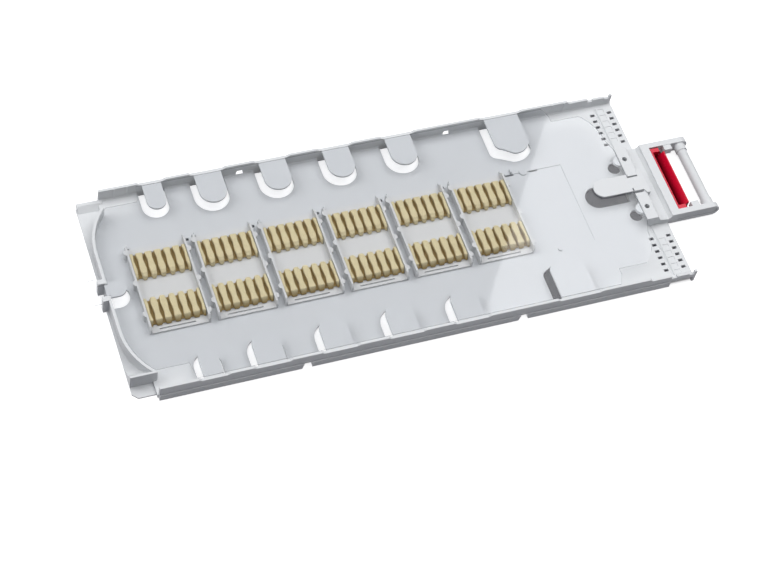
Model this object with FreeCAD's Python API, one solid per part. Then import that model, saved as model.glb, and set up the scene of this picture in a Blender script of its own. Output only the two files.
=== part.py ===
import FreeCAD, Part
import math
import os

os.makedirs("parts", exist_ok=True)
Vector = FreeCAD.Vector

# A fibre splice tray with its clear cover, splice holders and hinge latch.
# Sizes are millimetres. The pieces are drawn from the left edge of the first
# splice holder, the tray's centre line and the top of the floor. Each is moved
# at the end so that the origin lies on the hinge shaft's axis.

# Splice holders and their combs
holder_count = 6
holder_width = 29.3
holder_channel = 3.7
holder_depth = 47.8
holder_base = 1.0
holder_wall = 1.0
holder_wall_top = 5.0
holder_wall_corner = 1.4
knob_radius = 1.6
knob_inset = 0.3
knobs_on_right = (16.0, -1.3, -19.7)
knobs_on_left = (20.0, 2.3, -15.2)
ledge_slot_x = 5.0
ledge_slot_length = 17.5
ledge_slot_width = 0.7
fin_channels = 6
fin_head = 3.4
fin_waist = 2.5
fin_tail = 2.4
fin_waist_y = 9.8
fin_tail_y = 13.4
fin_nose = 1.5
fin_shoulder = 2.6
fin_shoulder_y = 1.3
fin_head_y = 4.6
fin_lean = 1.6
fin_nose_run = 2.4
fin_brow_run = 0.8
fin_brow_drop = 0.9
comb_inner_y = 5.2
comb_outer_y = 20.6
comb_base = 0.8
comb_gap = 0.15
tail_slot = 0.9
fin_top = 4.5

# Tray shell
lane_width = 31.8
wall = 1.3
floor = 1.2
rim_top = 7.2
skirt_drop = 2.4
skirt_band = 0.5
skirt_band_top = 1.5
empty_places = 1
left_wall_x = -4.5
floor_run = 37.0
rim_ramp = 1.5
low_rim_run = 10.7
low_rim_drop = 1.5
end_rim_run = 13.7
end_rim_top = 4.9
end_dip_length = 3.0
end_dip_top = 3.8
end_low_length = 2.7
end_low_top = 3.8
end_blade = 1.3
end_blade_top = 6.1
end_foot = 1.5
foot_radius = 0.8
flute_radius = 0.35
flute_offsets = (3.0, 9.5)

# Fibre tabs on the side walls and the cut-outs below them
tab_top = 6.3
tab_thickness = 1.1
tab_width = 13.7
tab_reach = 17.7
tab_offset = 16.6
tab_side_margin = 1.9
tab_tip_margin = 1.0
tab_rim_margin = 1.2
slim_tab_width = 9.5
slim_tab_reach = 15.2
slim_tab_x = 21.5
big_tab_width = 18.4
big_tab_x = 6.9
big_tab_near_reach = 19.2
big_tab_far_reach = 23.6
big_tab_knee = 10.0
big_tab_corner = 3.0
big_tab_tip_corner = 6.0
big_tab_slope = 0.2
notch_width = 5.0
notch_flare = 1.1
notch_top = 2.6
notch_x = 31.0
notch_spacing = 109.5

# Curved rib and pull tab seat at the left end
rib_x = -14.2
rib_top = 7.0
rib_straight = 22.0
rib_radius = 36.5
rib_end_y = 46.9
flange_x = -16.0
flange_y = 54.2
flange = 0.8
flange_chamfer = 2.5
pull_y = 0.8
pull_width = 6.2
pull_gap = 0.4
lug_width = 2.6
lug_out = 3.4
lug_rise = 0.2
seat_length = 9.2
seat_width = 8.4
seat_cut_width = 12.0
seat_cut_margin = 1.6
web_y = 47.0
web_wall = 1.0
web_run = 14.0
strip_y = 54.9
strip_width = 1.8
strip_top = 0.6
strip_slope = 3.0
strip_inset = 0.6

# Empty place for one more holder
outline_groove = 0.6
outline_side_groove = 0.9
outline_depth = 0.35
far_groove = 0.5
place_slot_length = 4.5
place_slot_width = 1.0
place_slots_x = (1.2, 14.1)
place_bump_x = 8.6
place_bump_radius = 2.2
place_bump_rise = 0.8
place_nub_x = 10.0
place_nub_gap = 1.0
blade_thickness = 0.7
blade_width = 2.2
blade_left_inset = 0.3
blade_right_inset = 1.6
blade_gap = 0.2
blade_top = 1.8
pin_hole = 1.5

# Deck, tongue, slotted landings and neck at the right end
deck_run = 24.1
deck_length = 6.1
deck_top = 6.9
deck_thickness = 1.2
neck_slope = 2.0
neck_top = 3.5
neck_low = 2.8
neck_cove = 1.5
neck_cove_top = 4.6
tongue_width = 10.4
tongue_reach = 20.4
tongue_gap = 0.05
tongue_thickness = 0.8
tongue_root = 8.0
tongue_root_width = 14.8
tongue_root_strip = 3.0
tongue_root_taper = 1.2
tongue_cut_margin = 1.2
tongue_cut_tip = 2.7
slit_width = 0.9
slit_length = 5.0
slit_ys = (3.5, -5.8)
slit_foot_width = 0.8
slit_foot_length = 2.3
deck_hole_radius = 1.3
deck_hole_y = 15.0
deck_hole_x = 2.9
boss_radius = 3.0
boss_drop = 2.2
boss_hole_radius = 3.3
boss_hole_shift = 1.3
slot_rows = 6
slot_pitch = 3.85
slot_length = 2.4
slot_width = 1.5
slot_edge = 7.6
slot_column_x = (0.65, 10.0)
landing_x = 3.2
landing_rise = 0.2
landing_groove = 1.1
landing_groove_depth = 0.5
landing_outer_y = 53.0
pad_margin = 1.1
pad_length = 3.3
pad_width = 2.2
pad_depth = 0.25

# Hinge frame, shaft and latch
frame_gap = 1.5
frame_top = 5.5
frame_bottom = -1.5
bar_width = 4.5
arm_outer_y = 22.6
arm_width = 3.0
arm_length = 27.0
arm_pocket = 0.5
arm_pocket_border = 1.1
shaft_x = 22.5
shaft_radius = 2.6
collar_radius = 3.0
collar_length = 4.0
stop_x = 12.5
stop_length = 4.2
stop_reach = 3.0
stop_bottom = 1.6
stop_drop = 0.2
latch_gap = 0.4
latch_width = 7.2
latch_wall = 1.0
latch_bottom = -1.2
latch_top = 4.8
latch_corner = 1.9
latch_rim = 0.7
latch_sole = 2.3
latch_end = 2.4
latch_ear_width = 2.8
latch_ear_gap = 0.6
latch_notch = 2.8
latch_pin_radius = 1.0
latch_pin_gap = 0.05
latch_pin_reach = 2.0
latch_pin_end_gap = 0.3
latch_pin_x = 4.9
latch_pin_rise = 2.1

# Clear cover
cover_thickness = 0.5
cover_gap = 0.4
cover_wall_gap = 0.15
cover_deck_gap = 0.3
cover_left_notch = 15.6
cover_notch_y = 46.4
cover_notch_slant = 1.5
cover_right_notch = 1.4
cover_corner_run = 2.5
cover_corner_drop = 5.5
cover_curve_run = 15.3
cover_curve_end = 2.7
cover_curve_y = 29.3
cover_curve_bulge = 1.5
cover_end_y = 22.4
cover_pull_reach = 9.8
cover_pull_head_width = 14.0
cover_pull_corner = 3.6

# How far pieces of one moulding run into each other, and cuts run past a face
merge = 0.5
past = 1.0

# Places worked out from the sizes above
holder_pitch = holder_width + holder_channel
place_half = holder_depth / 2
inner_y = place_half + lane_width
outer_y = inner_y + wall
places_end = (holder_count + empty_places) * holder_pitch
empty_x = holder_count * holder_pitch
deck_x = places_end + deck_run
floor_end = places_end + floor_run
frame_x = floor_end + frame_gap
shaft_centre_x = frame_x + shaft_x
frame_mid = (frame_top + frame_bottom) / 2
arm_inner_y = arm_outer_y - arm_width
fin_pitch = (holder_width - 2 * holder_wall - 2 * comb_gap) / fin_channels
deck_end = deck_x + deck_length
deck_half_width = arm_outer_y
rib_sweep = math.asin((rib_end_y - rib_straight) / rib_radius)
origin = Vector(shaft_centre_x, 0, frame_mid)


def box(x0, x1, y0, y1, z0, z1):
    return Part.makeBox(x1 - x0, y1 - y0, z1 - z0, Vector(x0, y0, z0))


def cylinder(radius, start, direction, length):
    return Part.makeCylinder(radius, length, Vector(*start), Vector(*direction))


def prism(points, z0, z1):
    loop = [Vector(x, y, z0) for x, y in points]
    return Part.Face(Part.makePolygon(loop + loop[:1])).extrude(Vector(0, 0, z1 - z0))


def profile_along_x(points, x0, x1):
    loop = [Vector(x0, y, z) for y, z in points]
    return Part.Face(Part.makePolygon(loop + loop[:1])).extrude(Vector(x1 - x0, 0, 0))


def profile_along_y(points, y0, y1):
    loop = [Vector(x, y0, z) for x, z in points]
    return Part.Face(Part.makePolygon(loop + loop[:1])).extrude(Vector(0, y1 - y0, 0))


def outline(edges, z0, z1):
    """A solid between two heights from lines and arcs that close an outline."""
    wire = Part.Wire(Part.__sortEdges__(edges))
    return Part.Face(wire).extrude(Vector(0, 0, z1 - z0)).translated(Vector(0, 0, z0))


def line(start, end):
    return Part.LineSegment(Vector(*start, 0), Vector(*end, 0)).toShape()


def arc(start, middle, end):
    return Part.Arc(Vector(*start, 0), Vector(*middle, 0), Vector(*end, 0)).toShape()


def fused(pieces):
    return pieces[0].multiFuse(pieces[1:]).removeSplitter()


def both_sides(piece):
    return [piece, piece.mirror(Vector(0, 0, 0), Vector(0, 1, 0))]


def corner_arc(start, corner, end):
    """An arc that rounds a corner between two points on its sides."""
    share = 1 - math.sqrt(0.5)
    middle = [c + share * (a - c + b - c) for a, c, b in zip(start, corner, end)]
    return arc(start, middle, end)


def rib_point(offset, share):
    """A point of the left rib's far half; offset is outwards from its middle line."""
    turn = rib_sweep * share
    reach = rib_radius + offset
    x = rib_x + rib_radius - reach * math.cos(turn)
    return x, rib_straight + reach * math.sin(turn)


def rib_edges(offset, share=1.0):
    """Edges along the rib from its near end to its far end."""
    far_end = rib_point(offset, share)
    far_middle = rib_point(offset, share / 2)
    far_start = rib_point(offset, 0)
    near_start = (far_start[0], -far_start[1])
    near_middle = (far_middle[0], -far_middle[1])
    near_end = (far_end[0], -far_end[1])
    return [arc(near_end, near_middle, near_start), line(near_start, far_start),
            arc(far_start, far_middle, far_end)]


def rib_share(offset, y):
    """How far along its curve a line beside the rib reaches the height y."""
    return math.asin((y - rib_straight) / (rib_radius + offset)) / rib_sweep


def tab_plan(centre_x, width, reach, root_y):
    """A tab's outline, from the wall inwards to a round end."""
    half = width / 2
    tip = root_y - reach
    round_y = tip + half
    left = centre_x - half
    right = centre_x + half
    return [line((left, root_y), (left, round_y)),
            arc((left, round_y), (centre_x, tip), (right, round_y)),
            line((right, round_y), (right, root_y)),
            line((right, root_y), (left, root_y))]


def big_tab_plan(margin, tip_margin, root_y):
    """The large tab's outline: its end slants to a rounded point."""
    left = empty_x + big_tab_x - big_tab_width / 2 - margin
    right = left + big_tab_width + 2 * margin
    near = root_y - big_tab_near_reach - tip_margin
    far = root_y - big_tab_far_reach - tip_margin
    side = (left, near + big_tab_corner)
    slant = (left + big_tab_corner, near - big_tab_corner * big_tab_slope)
    knee = (right - big_tab_knee - margin, far)
    tip_side = (right, far + big_tab_tip_corner)
    return [line((left, root_y), side), corner_arc(side, (left, near), slant), line(slant, knee),
            corner_arc(knee, (right, far), tip_side), line(tip_side, (right, root_y)),
            line((right, root_y), (left, root_y))]


def side_tabs():
    """Plans of the tabs on the far wall, and of the cut-outs below them."""
    tabs = [(slim_tab_x, slim_tab_width, slim_tab_reach)]
    for place in range(1, holder_count - 1):
        tabs.append((place * holder_pitch + tab_offset, tab_width, tab_reach))
    return tabs


def floor_plate():
    far = rib_point(0, 1)
    near = (far[0], -far[1])
    edges = rib_edges(0)
    edges += [line(far, (far[0], inner_y)), line((far[0], inner_y), (floor_end, inner_y)),
              line((floor_end, inner_y), (floor_end, -inner_y)),
              line((floor_end, -inner_y), (far[0], -inner_y)),
              line((far[0], -inner_y), near)]
    return outline(edges, -floor, 0)


def rim_cut(x0, x1, low):
    """Material above a lowered stretch of rim, with sloped ends."""
    return profile_along_y([(x0 - rim_ramp, rim_top), (x0, low), (x1, low), (x1 + rim_ramp, rim_top)],
                           inner_y - past, outer_y + past)


def side_wall():
    """The far wall: lowered at each tab, notched twice, with a band at its foot."""
    end_x = floor_end - end_rim_run
    solid = box(left_wall_x, end_x, inner_y, outer_y, -skirt_drop, rim_top)
    band = box(left_wall_x, end_x, inner_y, outer_y + skirt_band, -skirt_drop, skirt_band_top)
    fillet = profile_along_x([(inner_y, 0), (inner_y - foot_radius, 0), (inner_y, foot_radius)],
                             left_wall_x, floor_end)
    cuts = []
    for centre, width, reach in side_tabs():
        half = width / 2 + tab_rim_margin
        cuts.append(rim_cut(centre - half, centre + half, tab_top))
    big_half = big_tab_width / 2 + tab_rim_margin
    big_x = empty_x + big_tab_x
    cuts.append(rim_cut(big_x - big_half, big_x + big_half, tab_top))
    cuts.append(rim_cut(end_x - low_rim_run, end_x + rim_ramp, rim_top - low_rim_drop))
    for centre in (notch_x + holder_pitch, notch_x + holder_pitch + notch_spacing):
        cuts.append(profile_along_y([(centre, -skirt_drop), (centre + notch_width, -skirt_drop),
                                     (centre + notch_width - notch_flare, notch_top),
                                     (centre + notch_flare, notch_top)],
                                    inner_y - foot_radius, outer_y + skirt_band))
    solid = solid.fuse(band).fuse(fillet)
    flutes = [cylinder(flute_radius, (x, inner_y, 0), (0, 0, 1), rim_top)
              for x in flute_offsets]
    flutes += [cylinder(flute_radius, (empty_x + holder_pitch + x, inner_y, 0), (0, 0, 1), rim_top)
               for x in flute_offsets]
    return solid.multiFuse(flutes + end_wall(end_x)).cut(Part.makeCompound(cuts))


def end_wall(start):
    """The wall beside the landing: stepped, cut away below, with a blade at its end."""
    blade_x = floor_end - end_blade
    low_x = blade_x - end_low_length
    dip_x = start + end_dip_length
    steps = [(start - merge, dip_x, end_dip_top), (dip_x, low_x, end_rim_top),
             (low_x, blade_x, end_low_top)]
    pieces = []
    for x0, x1, top in steps:
        pieces.append(profile_along_x([(inner_y - merge, -floor), (inner_y, -floor),
                                       (outer_y, end_foot), (outer_y, top), (inner_y, top),
                                       (inner_y - merge, 0)], x0, x1))
    blade = box(blade_x, floor_end, inner_y, outer_y, -skirt_drop, end_blade_top)
    seat = box(blade_x, floor_end, inner_y - merge, outer_y, -floor, 0)
    return pieces + [blade, seat]


def wall_tabs():
    root = inner_y + wall / 2
    low = tab_top - tab_thickness
    tabs = [outline(tab_plan(x, width, reach + wall / 2, root), low, tab_top)
            for x, width, reach in side_tabs()]
    tabs.append(outline(big_tab_plan(0, 0, inner_y), low, tab_top))
    return tabs


def tab_cutouts():
    low = -floor - past
    cuts = [outline(tab_plan(x, width + 2 * tab_side_margin, reach + tab_tip_margin, inner_y),
                    low, foot_radius) for x, width, reach in side_tabs()]
    cuts.append(outline(big_tab_plan(tab_side_margin, tab_tip_margin, inner_y),
                        low, foot_radius))
    return cuts


def left_rib():
    """The rib around the left end, lowered where the cover's pull tab passes."""
    half = wall / 2
    outside = rib_edges(half)
    inside = rib_edges(-half)
    far_out = rib_point(half, 1)
    far_in = rib_point(-half, 1)
    far_cap = line(far_out, far_in)
    near_cap = line((far_in[0], -far_in[1]), (far_out[0], -far_out[1]))
    rib = outline(outside + [far_cap] + inside + [near_cap], -skirt_drop, rib_top)
    saddle = pull_width / 2 + pull_gap
    return rib.cut(box(rib_x - wall, rib_x + wall, pull_y - saddle, pull_y + saddle,
                       tab_top, rib_top))


def pull_seat():
    """The tab under the cover's pull and the two lugs that hold the pull between them."""
    x0 = rib_x
    x1 = x0 + seat_length
    half = seat_width / 2
    seat = outline([line((x0, pull_y - half), (x0, pull_y + half)),
                    line((x0, pull_y + half), (x1 - half, pull_y + half)),
                    arc((x1 - half, pull_y + half), (x1, pull_y), (x1 - half, pull_y - half)),
                    line((x1 - half, pull_y - half), (x0, pull_y - half))],
                   tab_top - tab_thickness, tab_top)
    saddle = pull_width / 2 + pull_gap
    lugs = [box(rib_x - lug_out, rib_x, y, y + lug_width, -skirt_drop, rib_top + lug_rise)
            for y in (pull_y + saddle, pull_y - saddle - lug_width)]
    return [seat] + lugs


def left_flange():
    """The thin flange outside the rib, open between the lugs."""
    far = rib_point(0, 1)
    chamfered = flange_y - flange_chamfer
    edges = rib_edges(0)
    edges += [line(far, (far[0], flange_y)), line((far[0], flange_y), (flange_x, flange_y)),
              line((flange_x, flange_y), (flange_x, -chamfered)),
              line((flange_x, -chamfered), (flange_x + flange_chamfer, -flange_y)),
              line((flange_x + flange_chamfer, -flange_y), (far[0], -flange_y)),
              line((far[0], -flange_y), (far[0], -far[1]))]
    plate = outline(edges, -skirt_drop, -skirt_drop + flange)
    saddle = pull_width / 2 + pull_gap
    gap = box(flange_x - past, rib_x - wall / 2, pull_y - saddle, pull_y + saddle, -skirt_drop, 0)
    return plate.cut(gap)


def left_corners():
    """The coved web in the near corner and the sloped strip in the far one."""
    end_x = rib_point(0, 1)[0]
    base = -skirt_drop
    top = base + flange
    drop = rib_top - top
    radius = (web_run ** 2 + drop ** 2) / (2 * drop)
    web = box(flange_x, end_x, -web_y, -web_y + web_run, base, rib_top)
    web = web.cut(cylinder(radius, (flange_x - past, -web_y + web_run, top + radius), (1, 0, 0),
                           end_x - flange_x + 2 * past))
    far = rib_point(0, 1)
    inside = rib_edges(0) + [line(far, (far[0], -far[1]))]
    web = web.cut(outline(inside, base, rib_top))
    web_face = box(flange_x, end_x + wall, -web_y - web_wall, -web_y, base, rib_top)
    outer = strip_y + strip_width / 2
    inner = strip_y - strip_width / 2
    strip = profile_along_x([(outer, base), (outer, strip_top), (inner, strip_top),
                             (inner - strip_slope, top), (inner - strip_slope, base)],
                            flange_x + strip_inset, end_x + wall)
    edge_skirt = box(end_x - wall / 2, end_x + wall, rib_end_y - wall, inner_y, base, 0)
    return [web, web_face, strip] + both_sides(edge_skirt)


def empty_place():
    """The line along the empty place's far and right sides, and its slots, cut into the floor."""
    x0 = empty_x
    x1 = empty_x + holder_width
    ring = box(x0, x1, -place_half, place_half, -outline_depth, 0)
    ring = ring.cut(box(x0 - past, x1 - outline_side_groove, -place_half - past,
                        place_half - outline_groove, -outline_depth, 0))
    slot_y = place_half - place_slot_width
    slots = [box(empty_x - place_slots_x[0] + x, empty_x - place_slots_x[0] + x + place_slot_length,
                 slot_y, slot_y + place_slot_width, -floor, 0)
             for x in (0, place_slots_x[0] + place_slots_x[1] - place_slot_length / 2)]
    return [ring] + slots


def far_grooves():
    """The line in the floor beyond each holder's far edge, between its blades."""
    grooves = []
    for place in range(holder_count):
        x0 = place * holder_pitch + blade_right_inset + blade_thickness
        x1 = place * holder_pitch + holder_width - blade_left_inset
        grooves.append(box(x0, x1, place_half, place_half + far_groove, -outline_depth, 0))
    return grooves


def place_details():
    """Upright blades at the holders' far corners, and the empty place's bumps."""
    blade_y = place_half + blade_gap
    blades = []
    for gap in range(holder_count + 1):
        left = gap * holder_pitch - holder_channel
        for x in (left - blade_left_inset, gap * holder_pitch + blade_right_inset):
            if x > 0:
                blades.append(box(x, x + blade_thickness, blade_y, blade_y + blade_width,
                                  -floor / 2, blade_top))
    bump = cylinder(place_bump_radius, (empty_x + place_bump_x, place_half, -floor / 2),
                    (0, 0, 1), floor / 2 + place_bump_rise)
    nub = cylinder(place_bump_radius / 2, (empty_x + place_nub_x, -place_half - place_nub_gap, -floor / 2),
                   (0, 0, 1), floor / 2 + place_bump_rise)
    return blades + [bump, nub]


def pin_holes():
    """The small square hole at the far end of each channel between holders."""
    half = pin_hole / 2
    middle = holder_channel / 2
    return [box(place * holder_pitch - middle - half, place * holder_pitch - middle + half,
                place_half - half, place_half + half, -floor, 0)
            for place in range(1, holder_count + 1)]


def neck_line():
    """Top line of the neck, from the deck's edge down and up to the hinge frame."""
    return [(deck_end, deck_top), (deck_end + neck_slope, neck_top),
            (frame_x - neck_cove, neck_low), (frame_x, neck_cove_top),
            (frame_x + merge, neck_cove_top)]


def deck():
    """The raised deck and the neck: a bent plate with closed ends."""
    line_points = neck_line()
    low = deck_top - deck_thickness
    plate = box(deck_x, deck_end, -deck_half_width, deck_half_width, low, deck_top)
    under = [(x, z - deck_thickness) for x, z in reversed(line_points)]
    sheet = profile_along_y(line_points + under, -deck_half_width, deck_half_width)
    rim = [(deck_x, deck_top)] + line_points
    side = rim + [(frame_x + merge, -floor), (deck_x + landing_x, -floor)]
    cheek = profile_along_y(side, deck_half_width - deck_thickness, deck_half_width)
    return [plate, sheet] + both_sides(cheek)


def deck_bosses():
    """Round stubs that hang from the deck's left edge over the boss holes."""
    return [cylinder(boss_radius, (deck_x, y, deck_top - boss_drop), (0, 0, 1),
                     boss_drop - deck_thickness / 2)
            for y in (deck_hole_y, -deck_hole_y)]


def boss_holes():
    return [cylinder(boss_hole_radius, (deck_x - boss_hole_shift, y, -floor), (0, 0, 1), floor)
            for y in (deck_hole_y, -deck_hole_y)]


def deck_cuts():
    """Screw holes, and the bent slits that free the tongue's sides."""
    low = deck_top - deck_thickness - past
    high = deck_top + tongue_thickness + past
    cuts = [cylinder(deck_hole_radius, (deck_x + deck_hole_x, y, low), (0, 0, 1), high - low)
            for y in (deck_hole_y, -deck_hole_y)]
    for y in slit_ys:
        cuts.append(box(deck_x - slit_foot_width, deck_x + slit_length, y - slit_width / 2,
                        y + slit_width / 2, low, high))
        cuts.append(box(deck_x - slit_foot_width, deck_x, y, y + slit_foot_length, low, high))
    return cuts


def tongue():
    """The spring tongue, a raised strip with a broad root on the deck."""
    low = tab_top + cover_thickness + tongue_gap
    top = low + tongue_thickness
    tip = deck_x - tongue_reach
    half = tongue_width / 2
    root = deck_x + tongue_root
    broad = tongue_root_width / 2
    strip_x = root - tongue_root_strip
    blade = outline([line((strip_x, half), (tip + half, half)),
                     arc((tip + half, half), (tip, 0), (tip + half, -half)),
                     line((tip + half, -half), (strip_x, -half)),
                     line((strip_x, -half), (strip_x, half))], low, top)
    foot = prism([(strip_x, -half), (strip_x + tongue_root_taper, -broad), (root, -broad),
                  (root, broad), (strip_x + tongue_root_taper, broad), (strip_x, half)],
                 neck_top, top)
    return [blade, foot]


def tongue_cutout():
    half = tongue_width / 2 + tongue_cut_margin
    tip = deck_x - tongue_reach - tongue_cut_tip
    end = deck_x - past
    return outline([line((end, half), (tip + half, half)),
                    arc((tip + half, half), (tip, 0), (tip + half, -half)),
                    line((tip + half, -half), (end, -half)),
                    line((end, -half), (end, half))], -floor, 0)


def seat_cutout():
    half = seat_cut_width / 2
    x0 = rib_x + wall / 2
    x1 = rib_x + seat_length + seat_cut_margin
    return outline([line((x0, -half), (x0, half)), line((x0, half), (x1 - half, half)),
                    arc((x1 - half, half), (x1, 0), (x1 - half, -half)),
                    line((x1 - half, -half), (x0, -half))], -floor, 0)


def landings():
    """Slightly raised landings for tubes at both corners."""
    slab = box(deck_x + landing_x, floor_end, deck_half_width - merge, landing_outer_y,
               -floor / 2, landing_rise)
    return both_sides(slab)


def slot_ys():
    return [outer_y - slot_edge - row * slot_pitch for row in range(slot_rows)]


def landing_cuts():
    """Tie slots in two columns, shallow pads between them and the groove at the landing's edge."""
    groove_x = deck_x + landing_x
    half = landing_groove / 2
    groove = profile_along_y([(groove_x - half, 0), (groove_x, -landing_groove_depth),
                              (groove_x + half, 0), (groove_x + half, landing_rise),
                              (groove_x - half, landing_rise)], deck_half_width, landing_outer_y)
    cuts = [groove]
    for y in slot_ys():
        for x in slot_column_x:
            centre = deck_x + x
            cuts.append(box(centre - slot_length / 2, centre + slot_length / 2,
                            y - slot_width / 2, y + slot_width / 2, -floor, landing_rise))
        pad_x = deck_x + landing_x + pad_margin
        pad_y = y + slot_pitch / 2
        cuts.append(box(pad_x, pad_x + pad_length, pad_y - pad_width / 2, pad_y + pad_width / 2,
                        landing_rise - pad_depth, landing_rise))
    return [side for cut in cuts for side in both_sides(cut)]


def arm_profile(inset):
    """Side view of an arm: square at the bar, half round at the free end."""
    x0 = frame_x + inset
    top = frame_top - inset
    low = frame_bottom + inset
    radius = (top - low) / 2
    x1 = frame_x + arm_length - inset - radius
    points = [Vector(x0, 0, low), Vector(x1, 0, low), Vector(x1 + radius, 0, frame_mid),
              Vector(x1, 0, top), Vector(x0, 0, top)]
    edges = [Part.LineSegment(points[0], points[1]).toShape(),
             Part.Arc(points[1], points[2], points[3]).toShape(),
             Part.LineSegment(points[3], points[4]).toShape(),
             Part.LineSegment(points[4], points[0]).toShape()]
    return Part.Face(Part.Wire(edges))


def hinge_frame():
    """Bar, two arms with pocketed outsides, latch stops and the hinge shaft."""
    bar = box(frame_x, frame_x + bar_width, -arm_outer_y, arm_outer_y, frame_bottom, frame_top)
    arm = arm_profile(0).extrude(Vector(0, arm_width, 0)).translated(Vector(0, arm_inner_y, 0))
    pocket = arm_profile(arm_pocket_border).extrude(Vector(0, arm_pocket, 0))
    arm = arm.cut(pocket.translated(Vector(0, arm_outer_y - arm_pocket, 0)))
    stop = box(frame_x + stop_x, frame_x + stop_x + stop_length, arm_inner_y - stop_reach,
               arm_inner_y + merge, stop_bottom, frame_top - stop_drop)
    shaft = cylinder(shaft_radius, (shaft_centre_x, -arm_inner_y, frame_mid), (0, 1, 0),
                     2 * arm_inner_y)
    collar = cylinder(collar_radius, (shaft_centre_x, arm_inner_y - collar_length, frame_mid),
                      (0, 1, 0), collar_length)
    pieces = [bar, shaft] + both_sides(arm) + both_sides(stop) + both_sides(collar)
    frame = pieces[0].multiFuse(pieces[1:])
    bore = cylinder(latch_pin_radius + latch_pin_gap, latch_axis(arm_inner_y), (0, 1, 0),
                    latch_pin_reach)
    return frame.cut(Part.makeCompound(both_sides(bore)))


def latch_axis(y):
    return (frame_x + bar_width + latch_gap + latch_pin_x, y, latch_bottom + latch_pin_rise)


def tray_body():
    solids = [floor_plate(), left_rib(), left_flange(), hinge_frame()]
    solids += both_sides(side_wall())
    for tab in wall_tabs():
        solids += both_sides(tab)
    solids += left_corners() + place_details() + deck() + landings() + pull_seat() + tongue()
    cuts = [tongue_cutout(), seat_cutout()] + empty_place() + far_grooves() + pin_holes()
    cuts += deck_cuts() + landing_cuts()
    for cut in tab_cutouts():
        cuts += both_sides(cut)
    body = solids[0].multiFuse(solids[1:])
    body = body.cut(Part.makeCompound(boss_holes()))
    body = body.multiFuse(deck_bosses()).cut(Part.makeCompound(cuts))
    return body.removeSplitter()


def splice_holder(place):
    """The white base: a plate with two side walls and half-round clip knobs."""
    x0 = place * holder_pitch
    x1 = x0 + holder_width
    plate = box(x0, x1, -place_half, place_half, 0, holder_base)
    shoulder = holder_wall_top - holder_wall_corner
    crest = place_half - holder_wall_corner
    side = [(-place_half, 0), (-place_half, shoulder), (-crest, holder_wall_top),
            (crest, holder_wall_top), (place_half, shoulder), (place_half, 0)]
    walls = [profile_along_x(side, x0, x0 + holder_wall), profile_along_x(side, x1 - holder_wall, x1)]
    knobs = [cylinder(knob_radius, (x1 - knob_inset, y, 0), (0, 0, 1), holder_wall_top)
             for y in knobs_on_right]
    knobs += [cylinder(knob_radius, (x0 + knob_inset, y, 0), (0, 0, 1), holder_wall_top)
              for y in knobs_on_left]
    trims = [box(x1 - holder_wall - knob_radius, x1 - holder_wall, -place_half, place_half,
                 holder_base, holder_wall_top),
             box(x0 + holder_wall, x0 + holder_wall + knob_radius, -place_half, place_half,
                 holder_base, holder_wall_top)]
    solid = plate.multiFuse(walls + knobs).cut(Part.makeCompound(trims))
    slot_y = -(place_half + comb_outer_y) / 2
    slot_x = x0 + ledge_slot_x
    slots = [box(slot_x, slot_x + ledge_slot_length, slot_y - ledge_slot_width / 2,
                 slot_y + ledge_slot_width / 2, 0, holder_base)]
    tail_half = (fin_pitch - fin_head) / 2
    for channel in range(fin_channels):
        middle = x0 + holder_wall + comb_gap + (channel + 0.5) * fin_pitch
        slots.append(box(middle - tail_half, middle + tail_half, comb_outer_y - tail_slot,
                         comb_outer_y, 0, holder_base))
    return solid.cut(Part.makeCompound(slots)).removeSplitter()


def fin_plan(centre_x, left_half, right_half):
    """A fin's outline: a narrow nose inwards, then a head, a waist and a broad tail."""
    stations = [(comb_inner_y, fin_nose), (comb_inner_y + fin_shoulder_y, fin_shoulder),
                (comb_inner_y + fin_head_y, fin_head), (comb_inner_y + fin_waist_y, fin_waist),
                (comb_inner_y + fin_tail_y, fin_head), (comb_outer_y, fin_tail)]
    right = [(centre_x + (width / 2 if right_half else 0), y) for y, width in stations]
    left = [(centre_x - (width / 2 if left_half else 0), y) for y, width in reversed(stations)]
    if not right_half:
        right = [right[0], right[-1]]
    if not left_half:
        left = [left[0], left[-1]]
    return right + left


def splice_comb(place, side):
    """One ivory comb: a base strip with full fins and a half fin at each wall."""
    x0 = place * holder_pitch + holder_wall + comb_gap
    x1 = x0 + fin_channels * fin_pitch
    strip_top = holder_base + comb_base
    base = box(x0, x1, comb_inner_y + fin_shoulder_y, comb_outer_y - tail_slot, holder_base,
               strip_top)
    fins = [prism(fin_plan(x0 + index * fin_pitch, index > 0, index < fin_channels),
                  holder_base, fin_top) for index in range(fin_channels + 1)]
    comb = fused([base] + fins)
    tail = profile_along_x([(comb_outer_y, strip_top), (comb_outer_y + past, strip_top),
                            (comb_outer_y + past, fin_top), (comb_outer_y - fin_lean, fin_top)],
                           x0, x1)
    brow = (comb_inner_y + fin_brow_run, fin_top - fin_brow_drop)
    nose = profile_along_x([(comb_inner_y, strip_top), brow, (comb_inner_y + fin_nose_run, fin_top),
                            (comb_inner_y - past, fin_top), (comb_inner_y - past, strip_top)],
                           x0, x1)
    comb = comb.cut(Part.makeCompound([tail, nose]))
    if side == "near":
        comb = comb.mirror(Vector(0, 0, 0), Vector(0, 1, 0))
    return comb


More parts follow.
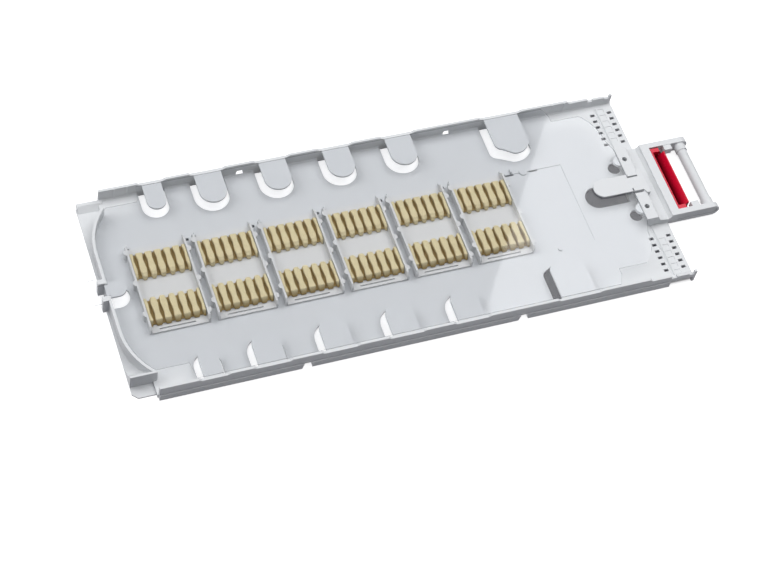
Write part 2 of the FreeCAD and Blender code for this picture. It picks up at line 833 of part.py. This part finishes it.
def clear_cover():
    """The clear sheet between the walls, shaped round the rib, corners and deck."""
    low = tab_top
    edge = inner_y - flute_radius - cover_wall_gap
    offset = -wall / 2 - cover_gap
    share = rib_share(offset, cover_notch_y)
    far = rib_point(offset, share)
    left = far[0]
    notch_right = left + cover_left_notch
    right = places_end - cover_right_notch
    curve = right + cover_curve_run
    curve_end = deck_x - cover_curve_end
    middle = ((curve + curve_end) / 2 + cover_curve_bulge,
              (cover_notch_y + cover_curve_y) / 2 + cover_curve_bulge)
    end_x = deck_x - cover_deck_gap
    points = [(notch_right, far[1]), (notch_right + cover_notch_slant, edge),
              (right - cover_corner_run, edge), (right, edge - cover_corner_drop), (right, far[1]),
              (curve, far[1])]
    edges = rib_edges(offset, share)
    edges.append(line(far, points[0]))
    for start, end in zip(points, points[1:]):
        edges.append(line(start, end))
    end_points = [(curve_end, cover_curve_y), (end_x, cover_end_y)]
    edges.append(arc(points[-1], middle, end_points[0]))
    edges.append(line(end_points[0], end_points[1]))
    edges.append(line(end_points[1], (end_x, -cover_end_y)))
    edges.append(line((end_x, -cover_end_y), (curve_end, -cover_curve_y)))
    edges.append(arc((curve_end, -cover_curve_y), (middle[0], -middle[1]),
                     (points[-1][0], -points[-1][1])))
    near_points = [(x, -y) for x, y in reversed(points)]
    for start, end in zip(near_points, near_points[1:]):
        edges.append(line(start, end))
    edges.append(line(near_points[-1], (far[0], -far[1])))
    sheet = outline(edges, low, low + cover_thickness)
    pull = pull_tab(low)
    return sheet.multiFuse(pull).removeSplitter()


def pull_tab(low):
    """The cover's pull: a narrow strip over the rib and a broad rounded end."""
    start = rib_x + wall
    neck_end = rib_x - lug_out - pull_gap
    end = rib_x - cover_pull_reach
    half = pull_width / 2
    strip = box(neck_end - merge, start + past, pull_y - half, pull_y + half, low,
                low + cover_thickness)
    head_half = cover_pull_head_width / 2
    head = box(end, neck_end, pull_y - head_half, pull_y + head_half, low, low + cover_thickness)
    corners = [edge for edge in head.Edges
               if abs(edge.Vertexes[0].X - edge.Vertexes[1].X) < 0.001
               and abs(edge.Vertexes[0].Y - edge.Vertexes[1].Y) < 0.001]
    outer = [edge for edge in corners if edge.Vertexes[0].X < end + 0.001]
    head = head.makeFillet(cover_pull_corner, outer)
    return [strip, head]


def hinge_latch():
    """The red latch: an open trough with a sloped right side, turning on two pins."""
    x0 = frame_x + bar_width + latch_gap
    x1 = x0 + latch_width
    half = arm_inner_y - latch_gap
    body = box(x0, x1, -half, half, latch_bottom, latch_top)
    lower = [edge for edge in body.Edges
             if all(abs(vertex.Z - latch_bottom) < 0.001 for vertex in edge.Vertexes)
             and abs(edge.Vertexes[0].X - edge.Vertexes[1].X) < 0.001]
    body = body.makeFillet(latch_corner, lower)
    sole_x = x0 + latch_wall
    sole_z = latch_bottom + latch_wall
    trough = profile_along_y([(sole_x, latch_top + past), (sole_x, sole_z),
                              (sole_x + latch_sole, sole_z), (x1 - latch_rim, latch_top),
                              (x1 - latch_rim, latch_top + past)],
                             -half + latch_end, half - latch_end)
    notch = box(frame_x + stop_x - latch_notch, x1 + past, half - latch_ear_width, half + past,
                stop_bottom - latch_ear_gap, latch_top + past)
    body = body.cut(Part.makeCompound([trough] + both_sides(notch)))
    pin = cylinder(latch_pin_radius, latch_axis(half - latch_wall / 2), (0, 1, 0),
                   latch_gap + latch_wall / 2 + latch_pin_reach - latch_pin_end_gap)
    return body.multiFuse(both_sides(pin)).removeSplitter()


def export(name, shape):
    shape.translated(-origin).exportStep("parts/" + name + ".step")
    print(name, len(shape.Solids), "solids, valid", shape.isValid(), round(shape.Volume, 1))


export("tray_body", tray_body())
for place in range(holder_count):
    export("splice_holder_%d" % (place + 1), splice_holder(place))
    for side in ("far", "near"):
        export("splice_comb_%d_%s" % (place + 1, side), splice_comb(place, side))
export("clear_cover", clear_cover())
export("hinge_latch", hinge_latch())
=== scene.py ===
import bpy
import math
from mathutils import Matrix, Vector


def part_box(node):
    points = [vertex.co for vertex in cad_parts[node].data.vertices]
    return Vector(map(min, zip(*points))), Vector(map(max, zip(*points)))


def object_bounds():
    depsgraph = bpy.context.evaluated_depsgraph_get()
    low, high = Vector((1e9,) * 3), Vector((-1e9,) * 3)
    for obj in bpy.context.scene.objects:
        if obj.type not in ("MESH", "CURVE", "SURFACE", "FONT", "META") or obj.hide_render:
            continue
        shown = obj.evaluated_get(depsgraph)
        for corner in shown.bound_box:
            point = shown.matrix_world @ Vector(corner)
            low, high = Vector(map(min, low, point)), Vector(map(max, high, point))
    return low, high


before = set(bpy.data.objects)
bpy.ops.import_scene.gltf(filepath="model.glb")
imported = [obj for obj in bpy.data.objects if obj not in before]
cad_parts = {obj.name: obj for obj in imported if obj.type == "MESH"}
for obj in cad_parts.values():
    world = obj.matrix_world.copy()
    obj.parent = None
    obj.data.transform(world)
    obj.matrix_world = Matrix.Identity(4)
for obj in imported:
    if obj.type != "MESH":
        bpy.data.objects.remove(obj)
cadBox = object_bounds()
print("frame loaded:", len(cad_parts), "nodes")


# Shader sums are written as Python sums on wires
class Wire:
    def __init__(self, graph, socket):
        self.graph = graph
        self.socket = socket

    def maths(self, operation, *values):
        return self.graph.add("ShaderNodeMath", {"operation": operation}, dict(enumerate(values)))

    def __add__(self, other):
        return self.maths("ADD", self, other)

    def __sub__(self, other):
        return self.maths("SUBTRACT", self, other)

    def __rsub__(self, other):
        return self.maths("SUBTRACT", other, self)

    def __truediv__(self, other):
        return self.maths("DIVIDE", self, other)

    def __mul__(self, other):
        return self.maths("MULTIPLY", self, other)

    def __pow__(self, other):
        return self.maths("POWER", self, other)

    __radd__ = __add__
    __rmul__ = __mul__

    def clamped(self, low=0.0, high=1.0):
        return self.maths("MINIMUM", self.maths("MAXIMUM", self, low), high)


class Graph:
    def __init__(self, name):
        self.material = bpy.data.materials.new(name)
        self.material.use_nodes = True
        self.tree = self.material.node_tree
        self.shader = self.tree.nodes["Principled BSDF"]
        self.end = self.tree.nodes["Material Output"]

    def add(self, kind, settings=None, sockets=None, output=0):
        node = self.tree.nodes.new(kind)
        for name, value in (settings or {}).items():
            setattr(node, name, value)
        for name, value in (sockets or {}).items():
            self.feed(node.inputs[name], value)
        return Wire(self, node.outputs[output])

    def feed(self, socket, value):
        if isinstance(value, Wire):
            self.tree.links.new(value.socket, socket)
        elif socket.type == "RGBA" and len(value) == 3:
            socket.default_value = (*value, 1)
        else:
            socket.default_value = value

    def place(self):
        return self.add("ShaderNodeTexCoord", output=3)

    def along(self, axis):
        return self.add("ShaderNodeSeparateXYZ", None, {0: self.place()}, output=axis)

    def noise(self, scale, detail=2.0, roughness=0.5):
        return self.add("ShaderNodeTexNoise", None,
                        {"Vector": self.place(), "Scale": scale, "Detail": detail,
                         "Roughness": roughness})

    def blend(self, factor, first, second):
        return self.add("ShaderNodeMix", {"data_type": "RGBA"},
                        {0: factor, 6: first, 7: second}, output=2)

    def surface(self, **sockets):
        for name, value in sockets.items():
            self.feed(self.shader.inputs[name.replace("_", " ")], value)

    def bump(self, height, strength, distance):
        self.feed(self.shader.inputs["Normal"],
                  self.add("ShaderNodeBump", None, {"Height": height, "Strength": strength,
                                                    "Distance": distance}))


trayFinish = {"light": (0.67, 0.685, 0.697), "shade": (0.645, 0.662, 0.677),
              "roughness": 0.36, "spread": 0.08, "grain": 1500.0, "cloud": 22.0,
              "bump": 0.12, "depth": 0.00006}


def trayPlastic():
    graph = Graph("trayPlastic")
    cloud = graph.noise(trayFinish["cloud"], 3.0)
    grain = graph.noise(trayFinish["grain"])
    graph.surface(Base_Color=graph.blend(cloud, trayFinish["shade"], trayFinish["light"]),
                  Roughness=trayFinish["roughness"] + cloud * trayFinish["spread"])
    graph.bump(grain, trayFinish["bump"], trayFinish["depth"])
    return graph.material


holderFinish = {"light": (0.70, 0.705, 0.70), "shade": (0.67, 0.675, 0.675),
                "roughness": 0.3, "spread": 0.1, "grain": 1300.0, "cloud": 60.0,
                "bump": 0.1, "depth": 0.00005}


def holderPlastic():
    graph = Graph("holderPlastic")
    cloud = graph.noise(holderFinish["cloud"])
    grain = graph.noise(holderFinish["grain"])
    graph.surface(Base_Color=graph.blend(cloud, holderFinish["shade"], holderFinish["light"]),
                  Roughness=holderFinish["roughness"] + cloud * holderFinish["spread"])
    graph.bump(grain, holderFinish["bump"], holderFinish["depth"])
    return graph.material


# The dark brown colour is painted shade for the channels between the fins; low and high are the
# heights over which it fades out
combFinish = {"top": (0.765, 0.69, 0.45), "paintedShadeColour": (0.38, 0.27, 0.10),
              "mottle": (0.70, 0.59, 0.345), "low": 0.0012, "high": 0.0036,
              "inner": 0.0055, "reach": 0.0018, "pores": 2600.0, "cloud": 420.0,
              "roughness": 0.66, "spread": 0.2, "bump": 0.3, "depth": 0.0001}


# Painted shade: the channels between the fins are painted dark brown, fading up to the ivory face
# with height, and the noses by the middle stay ivory
def combRubber(bottom):
    graph = Graph("combRubber")
    low = combFinish["low"]
    reach = combFinish["reach"]
    # Painted shade fades out from the channel floor up towards the fin tops
    paintedShadeFade = (graph.along(2) - bottom - low) / (combFinish["high"] - low)
    side = graph.along(1)
    nose = (combFinish["inner"] + reach - side.maths("ABSOLUTE", side)) / reach
    paintedShadeFade = (paintedShadeFade + nose.clamped()).clamped()
    cloud = graph.noise(combFinish["cloud"], 3.0, 0.6)
    pores = graph.noise(combFinish["pores"], 2.0, 0.7)
    face = graph.blend(cloud, combFinish["mottle"], combFinish["top"])
    graph.surface(Base_Color=graph.blend(paintedShadeFade, combFinish["paintedShadeColour"], face),
                  Roughness=combFinish["roughness"] + pores * combFinish["spread"])
    graph.bump(pores, combFinish["bump"], combFinish["depth"])
    return graph.material


sheetFinish = {"tint": (0.972, 0.975, 0.98), "mirror": (0.97, 0.975, 0.98),
               "side": (0.42, 0.44, 0.47), "headOn": 0.042, "glance": 5, "sideShare": 0.5,
               "roughness": 0.03}


# The sheet is clear, mirrors more at a glance and shows grey along its cut sides
def clearSheet():
    graph = Graph("clearSheet")
    clear = graph.add("ShaderNodeBsdfTransparent", None, {"Color": sheetFinish["tint"]})
    facing = graph.add("ShaderNodeLayerWeight", None, {"Blend": 0.5}, output=1)
    glance = facing ** sheetFinish["glance"] * (1 - sheetFinish["headOn"]) + sheetFinish["headOn"]
    normal = graph.add("ShaderNodeNewGeometry", output=1)
    upright = graph.add("ShaderNodeSeparateXYZ", None, {0: normal}, output=2)
    side = graph.add("ShaderNodeMath", {"operation": "LESS_THAN"},
                     {0: upright.maths("ABSOLUTE", upright), 1: 0.5})
    graph.surface(Base_Color=graph.blend(side, sheetFinish["mirror"], sheetFinish["side"]),
                  Metallic=1 - side, Roughness=sheetFinish["roughness"])
    share = (glance + side * sheetFinish["sideShare"]).clamped()
    both = graph.add("ShaderNodeMixShader", None,
                     {0: share, 1: clear, 2: Wire(graph, graph.shader.outputs[0])})
    graph.feed(graph.end.inputs["Surface"], both)
    return graph.material


# The near-black red is painted shade for the bottom of the trough; floor and wall are the heights
# over which it fades out
latchFinish = {"face": (0.62, 0.004, 0.03), "paintedShadeColour": (0.12, 0.001, 0.005),
               "floor": 0.0018, "wall": 0.0034, "unevenness": 0.1, "roughness": 0.22,
               "spread": 0.08, "cloud": 180.0, "grain": 1400.0, "bump": 0.08,
               "depth": 0.00005}


# Painted shade: the red darkens towards the bottom of the trough
def latchPlastic(bottom):
    graph = Graph("latchPlastic")
    cloud = graph.noise(latchFinish["cloud"])
    height = graph.along(2) - bottom - latchFinish["floor"]
    paintedShadeFade = (height / latchFinish["wall"] + cloud * latchFinish["unevenness"]).clamped()
    graph.surface(Base_Color=graph.blend(paintedShadeFade, latchFinish["paintedShadeColour"], latchFinish["face"]),
                  Roughness=latchFinish["roughness"] + cloud * latchFinish["spread"])
    graph.bump(graph.noise(latchFinish["grain"]), latchFinish["bump"], latchFinish["depth"])
    return graph.material


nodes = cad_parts
edge = {"comb": 0.0004, "latch": 0.00018, "segments": 2, "corner": 40, "flatness": 0.6,
        "weld": 0.000002, "sheetInset": 0.00004}


def welded(obj):
    weld = obj.modifiers.new("weld", "WELD")
    weld.merge_threshold = edge["weld"]


# The soft combs and the latch get rounded edges
def dress(obj, material, roundness=0.0):
    obj.data.materials.clear()
    obj.data.materials.append(material)
    if roundness:
        welded(obj)
        flat = obj.modifiers.new("flat", "DECIMATE")
        flat.decimate_type = "DISSOLVE"
        flat.angle_limit = math.radians(edge["flatness"])
        bevel = obj.modifiers.new("edge", "BEVEL")
        bevel.width = roundness
        bevel.segments = edge["segments"]
        bevel.limit_method = "ANGLE"
        bevel.angle_limit = math.radians(edge["corner"])
        bevel.use_clamp_overlap = False
        bevel.harden_normals = True


# A hair less thickness keeps the sheet's underside apart from the tabs that it lies on
def thinned(obj, depth):
    welded(obj)
    inset = obj.modifiers.new("inset", "DISPLACE")
    inset.strength = -depth
    inset.mid_level = 0


trayMaterial = trayPlastic()
holderMaterial = holderPlastic()
combMaterial = combRubber(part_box("splice_comb_1_far")[0].z)
dress(nodes["tray_body"], trayMaterial)
dress(nodes["clear_cover"], clearSheet())
thinned(nodes["clear_cover"], edge["sheetInset"])
dress(nodes["hinge_latch"], latchPlastic(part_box("hinge_latch")[0].z),
      edge["latch"])
for name, obj in nodes.items():
    if name.startswith("splice_holder"):
        dress(obj, holderMaterial)
    if name.startswith("splice_comb"):
        dress(obj, combMaterial, edge["comb"])
print("finishes on the moulded pieces")


# The ground lies under the lowest edge of the tray
# The darkest ground colour is painted shade for the patches below the tray
ground = {"size": 6.0, "gap": 0.0001, "seen": (0.5, 0.5, 0.5), "bounce": (0.20, 0.20, 0.23),
          "glow": (0.84, 0.84, 0.84), "paintedGroundShade": (0.035, 0.035, 0.042), "soft": 0.0016,
          "roughness": 0.9}
# Left, right, front and back of the painted shade patches on the ground below the holders and
# tongue, the near big tab, and the tie slots
shadePatches = [(-0.29, -0.0232, -0.0285, 0.0285), (-0.102, -0.06, -0.0565, -0.03),
                (-0.045, -0.0232, -0.0565, 0.0565)]


# Painted shade on the ground, seen only through the narrow openings of the tray
def shadePatch(graph, x0, x1, y0, y1):
    east = graph.along(0)
    north = graph.along(1)
    edges = [east - x0, x1 - east, north - y0, y1 - north]
    left, right, front, back = [(edge / ground["soft"]).clamped() for edge in edges]
    return left * right * front * back


def makeGround():
    half = ground["size"] / 2
    z = cadBox[0].z - ground["gap"]
    mesh = bpy.data.meshes.new("ground")
    mesh.from_pydata([(-half, -half, z), (half, -half, z), (half, half, z), (-half, half, z)], [],
                     [(0, 1, 2, 3)])
    floor = bpy.data.objects.new("ground", mesh)
    bpy.context.scene.collection.objects.link(floor)
    graph = Graph("groundPaper")
    camera = graph.add("ShaderNodeLightPath", output="Is Camera Ray")
    mirrored = graph.add("ShaderNodeLightPath", output="Is Glossy Ray")
    through = graph.add("ShaderNodeLightPath", output="Is Transmission Ray")
    seen = (camera + mirrored + through).clamped()
    # Painted shade: inside the patches the ground's colour and glow turn dark
    paintedShadeMask = sum(shadePatch(graph, *sides) for sides in shadePatches).clamped()
    glow = graph.blend(paintedShadeMask, ground["glow"], ground["paintedGroundShade"])
    face = graph.blend(paintedShadeMask, ground["seen"], ground["paintedGroundShade"])
    graph.surface(Base_Color=graph.blend(seen, ground["bounce"], face),
                  Roughness=ground["roughness"],
                  Emission_Color=graph.blend(seen, (0, 0, 0), glow), Emission_Strength=1.0)
    floor.data.materials.append(graph.material)


makeGround()

light = {"world": (0.13, 0.131, 0.142)}
lamps = {"softbox": {"centre": (0.794, 0.480, 1.2), "size": (0.9, 1.3), "turn": -35,
                     "radiance": 1.85, "glossy": True},
         "side": {"centre": (-1.0, 0.35, 0.85), "size": (0.8, 0.8), "target": (-0.14, 0, 0),
                  "radiance": 3.2, "glossy": False},
         "overhead": {"centre": (-0.02, 0.16, 1.1), "size": (1.2, 1.4), "turn": 0,
                      "radiance": 2.0, "glossy": False}}


# A lamp faces straight down, turned about the vertical, or looks at its target
def areaLamp(name, centre, size, radiance, glossy, turn=0, target=None):
    lamp = bpy.data.lights.new(name, "AREA")
    lamp.shape = "RECTANGLE"
    lamp.size = size[0]
    lamp.size_y = size[1]
    lamp.energy = radiance * math.pi * size[0] * size[1]
    obj = bpy.data.objects.new(name, lamp)
    bpy.context.scene.collection.objects.link(obj)
    if target is None:
        rotation = Matrix.Rotation(math.radians(turn), 4, "Z")
    else:
        rotation = (Vector(target) - Vector(centre)).to_track_quat("-Z", "Y").to_matrix().to_4x4()
    obj.matrix_world = Matrix.Translation(centre) @ rotation
    obj.visible_glossy = glossy


world = bpy.data.worlds.new("studio")
bpy.context.scene.world = world
world.use_nodes = True
world.node_tree.nodes["Background"].inputs["Color"].default_value = (*light["world"], 1)
for name, lamp in lamps.items():
    areaLamp(name, **lamp)
print("ground and lights")

# The camera stands where the photograph's perspective puts it
shot = {"turn": 30.108, "height": 56.098, "roll": 13.584, "distance": 0.9346,
        "target": (-0.17585, -0.02691, -0.002), "lens": 90.52, "sensor": 36.0}


def makeCamera():
    turn = math.radians(shot["turn"])
    height = math.radians(shot["height"])
    roll = math.radians(shot["roll"])
    ahead = Vector((math.sin(turn) * math.cos(height), math.cos(turn) * math.cos(height),
                    -math.sin(height)))
    right = Vector((math.cos(turn), -math.sin(turn), 0))
    up = right.cross(ahead)
    sideways = right * math.cos(roll) + up * math.sin(roll)
    upwards = up * math.cos(roll) - right * math.sin(roll)
    place = Vector(shot["target"]) - ahead * shot["distance"]
    data = bpy.data.cameras.new("camera")
    data.lens = shot["lens"]
    data.sensor_width = shot["sensor"]
    data.clip_start = 0.01
    camera = bpy.data.objects.new("camera", data)
    bpy.context.scene.collection.objects.link(camera)
    matrix = Matrix((sideways, upwards, -ahead)).transposed().to_4x4()
    matrix.translation = place
    camera.matrix_world = matrix
    bpy.context.scene.camera = camera


makeCamera()
bpy.context.scene.view_settings.view_transform = "Standard"
print("camera in place")
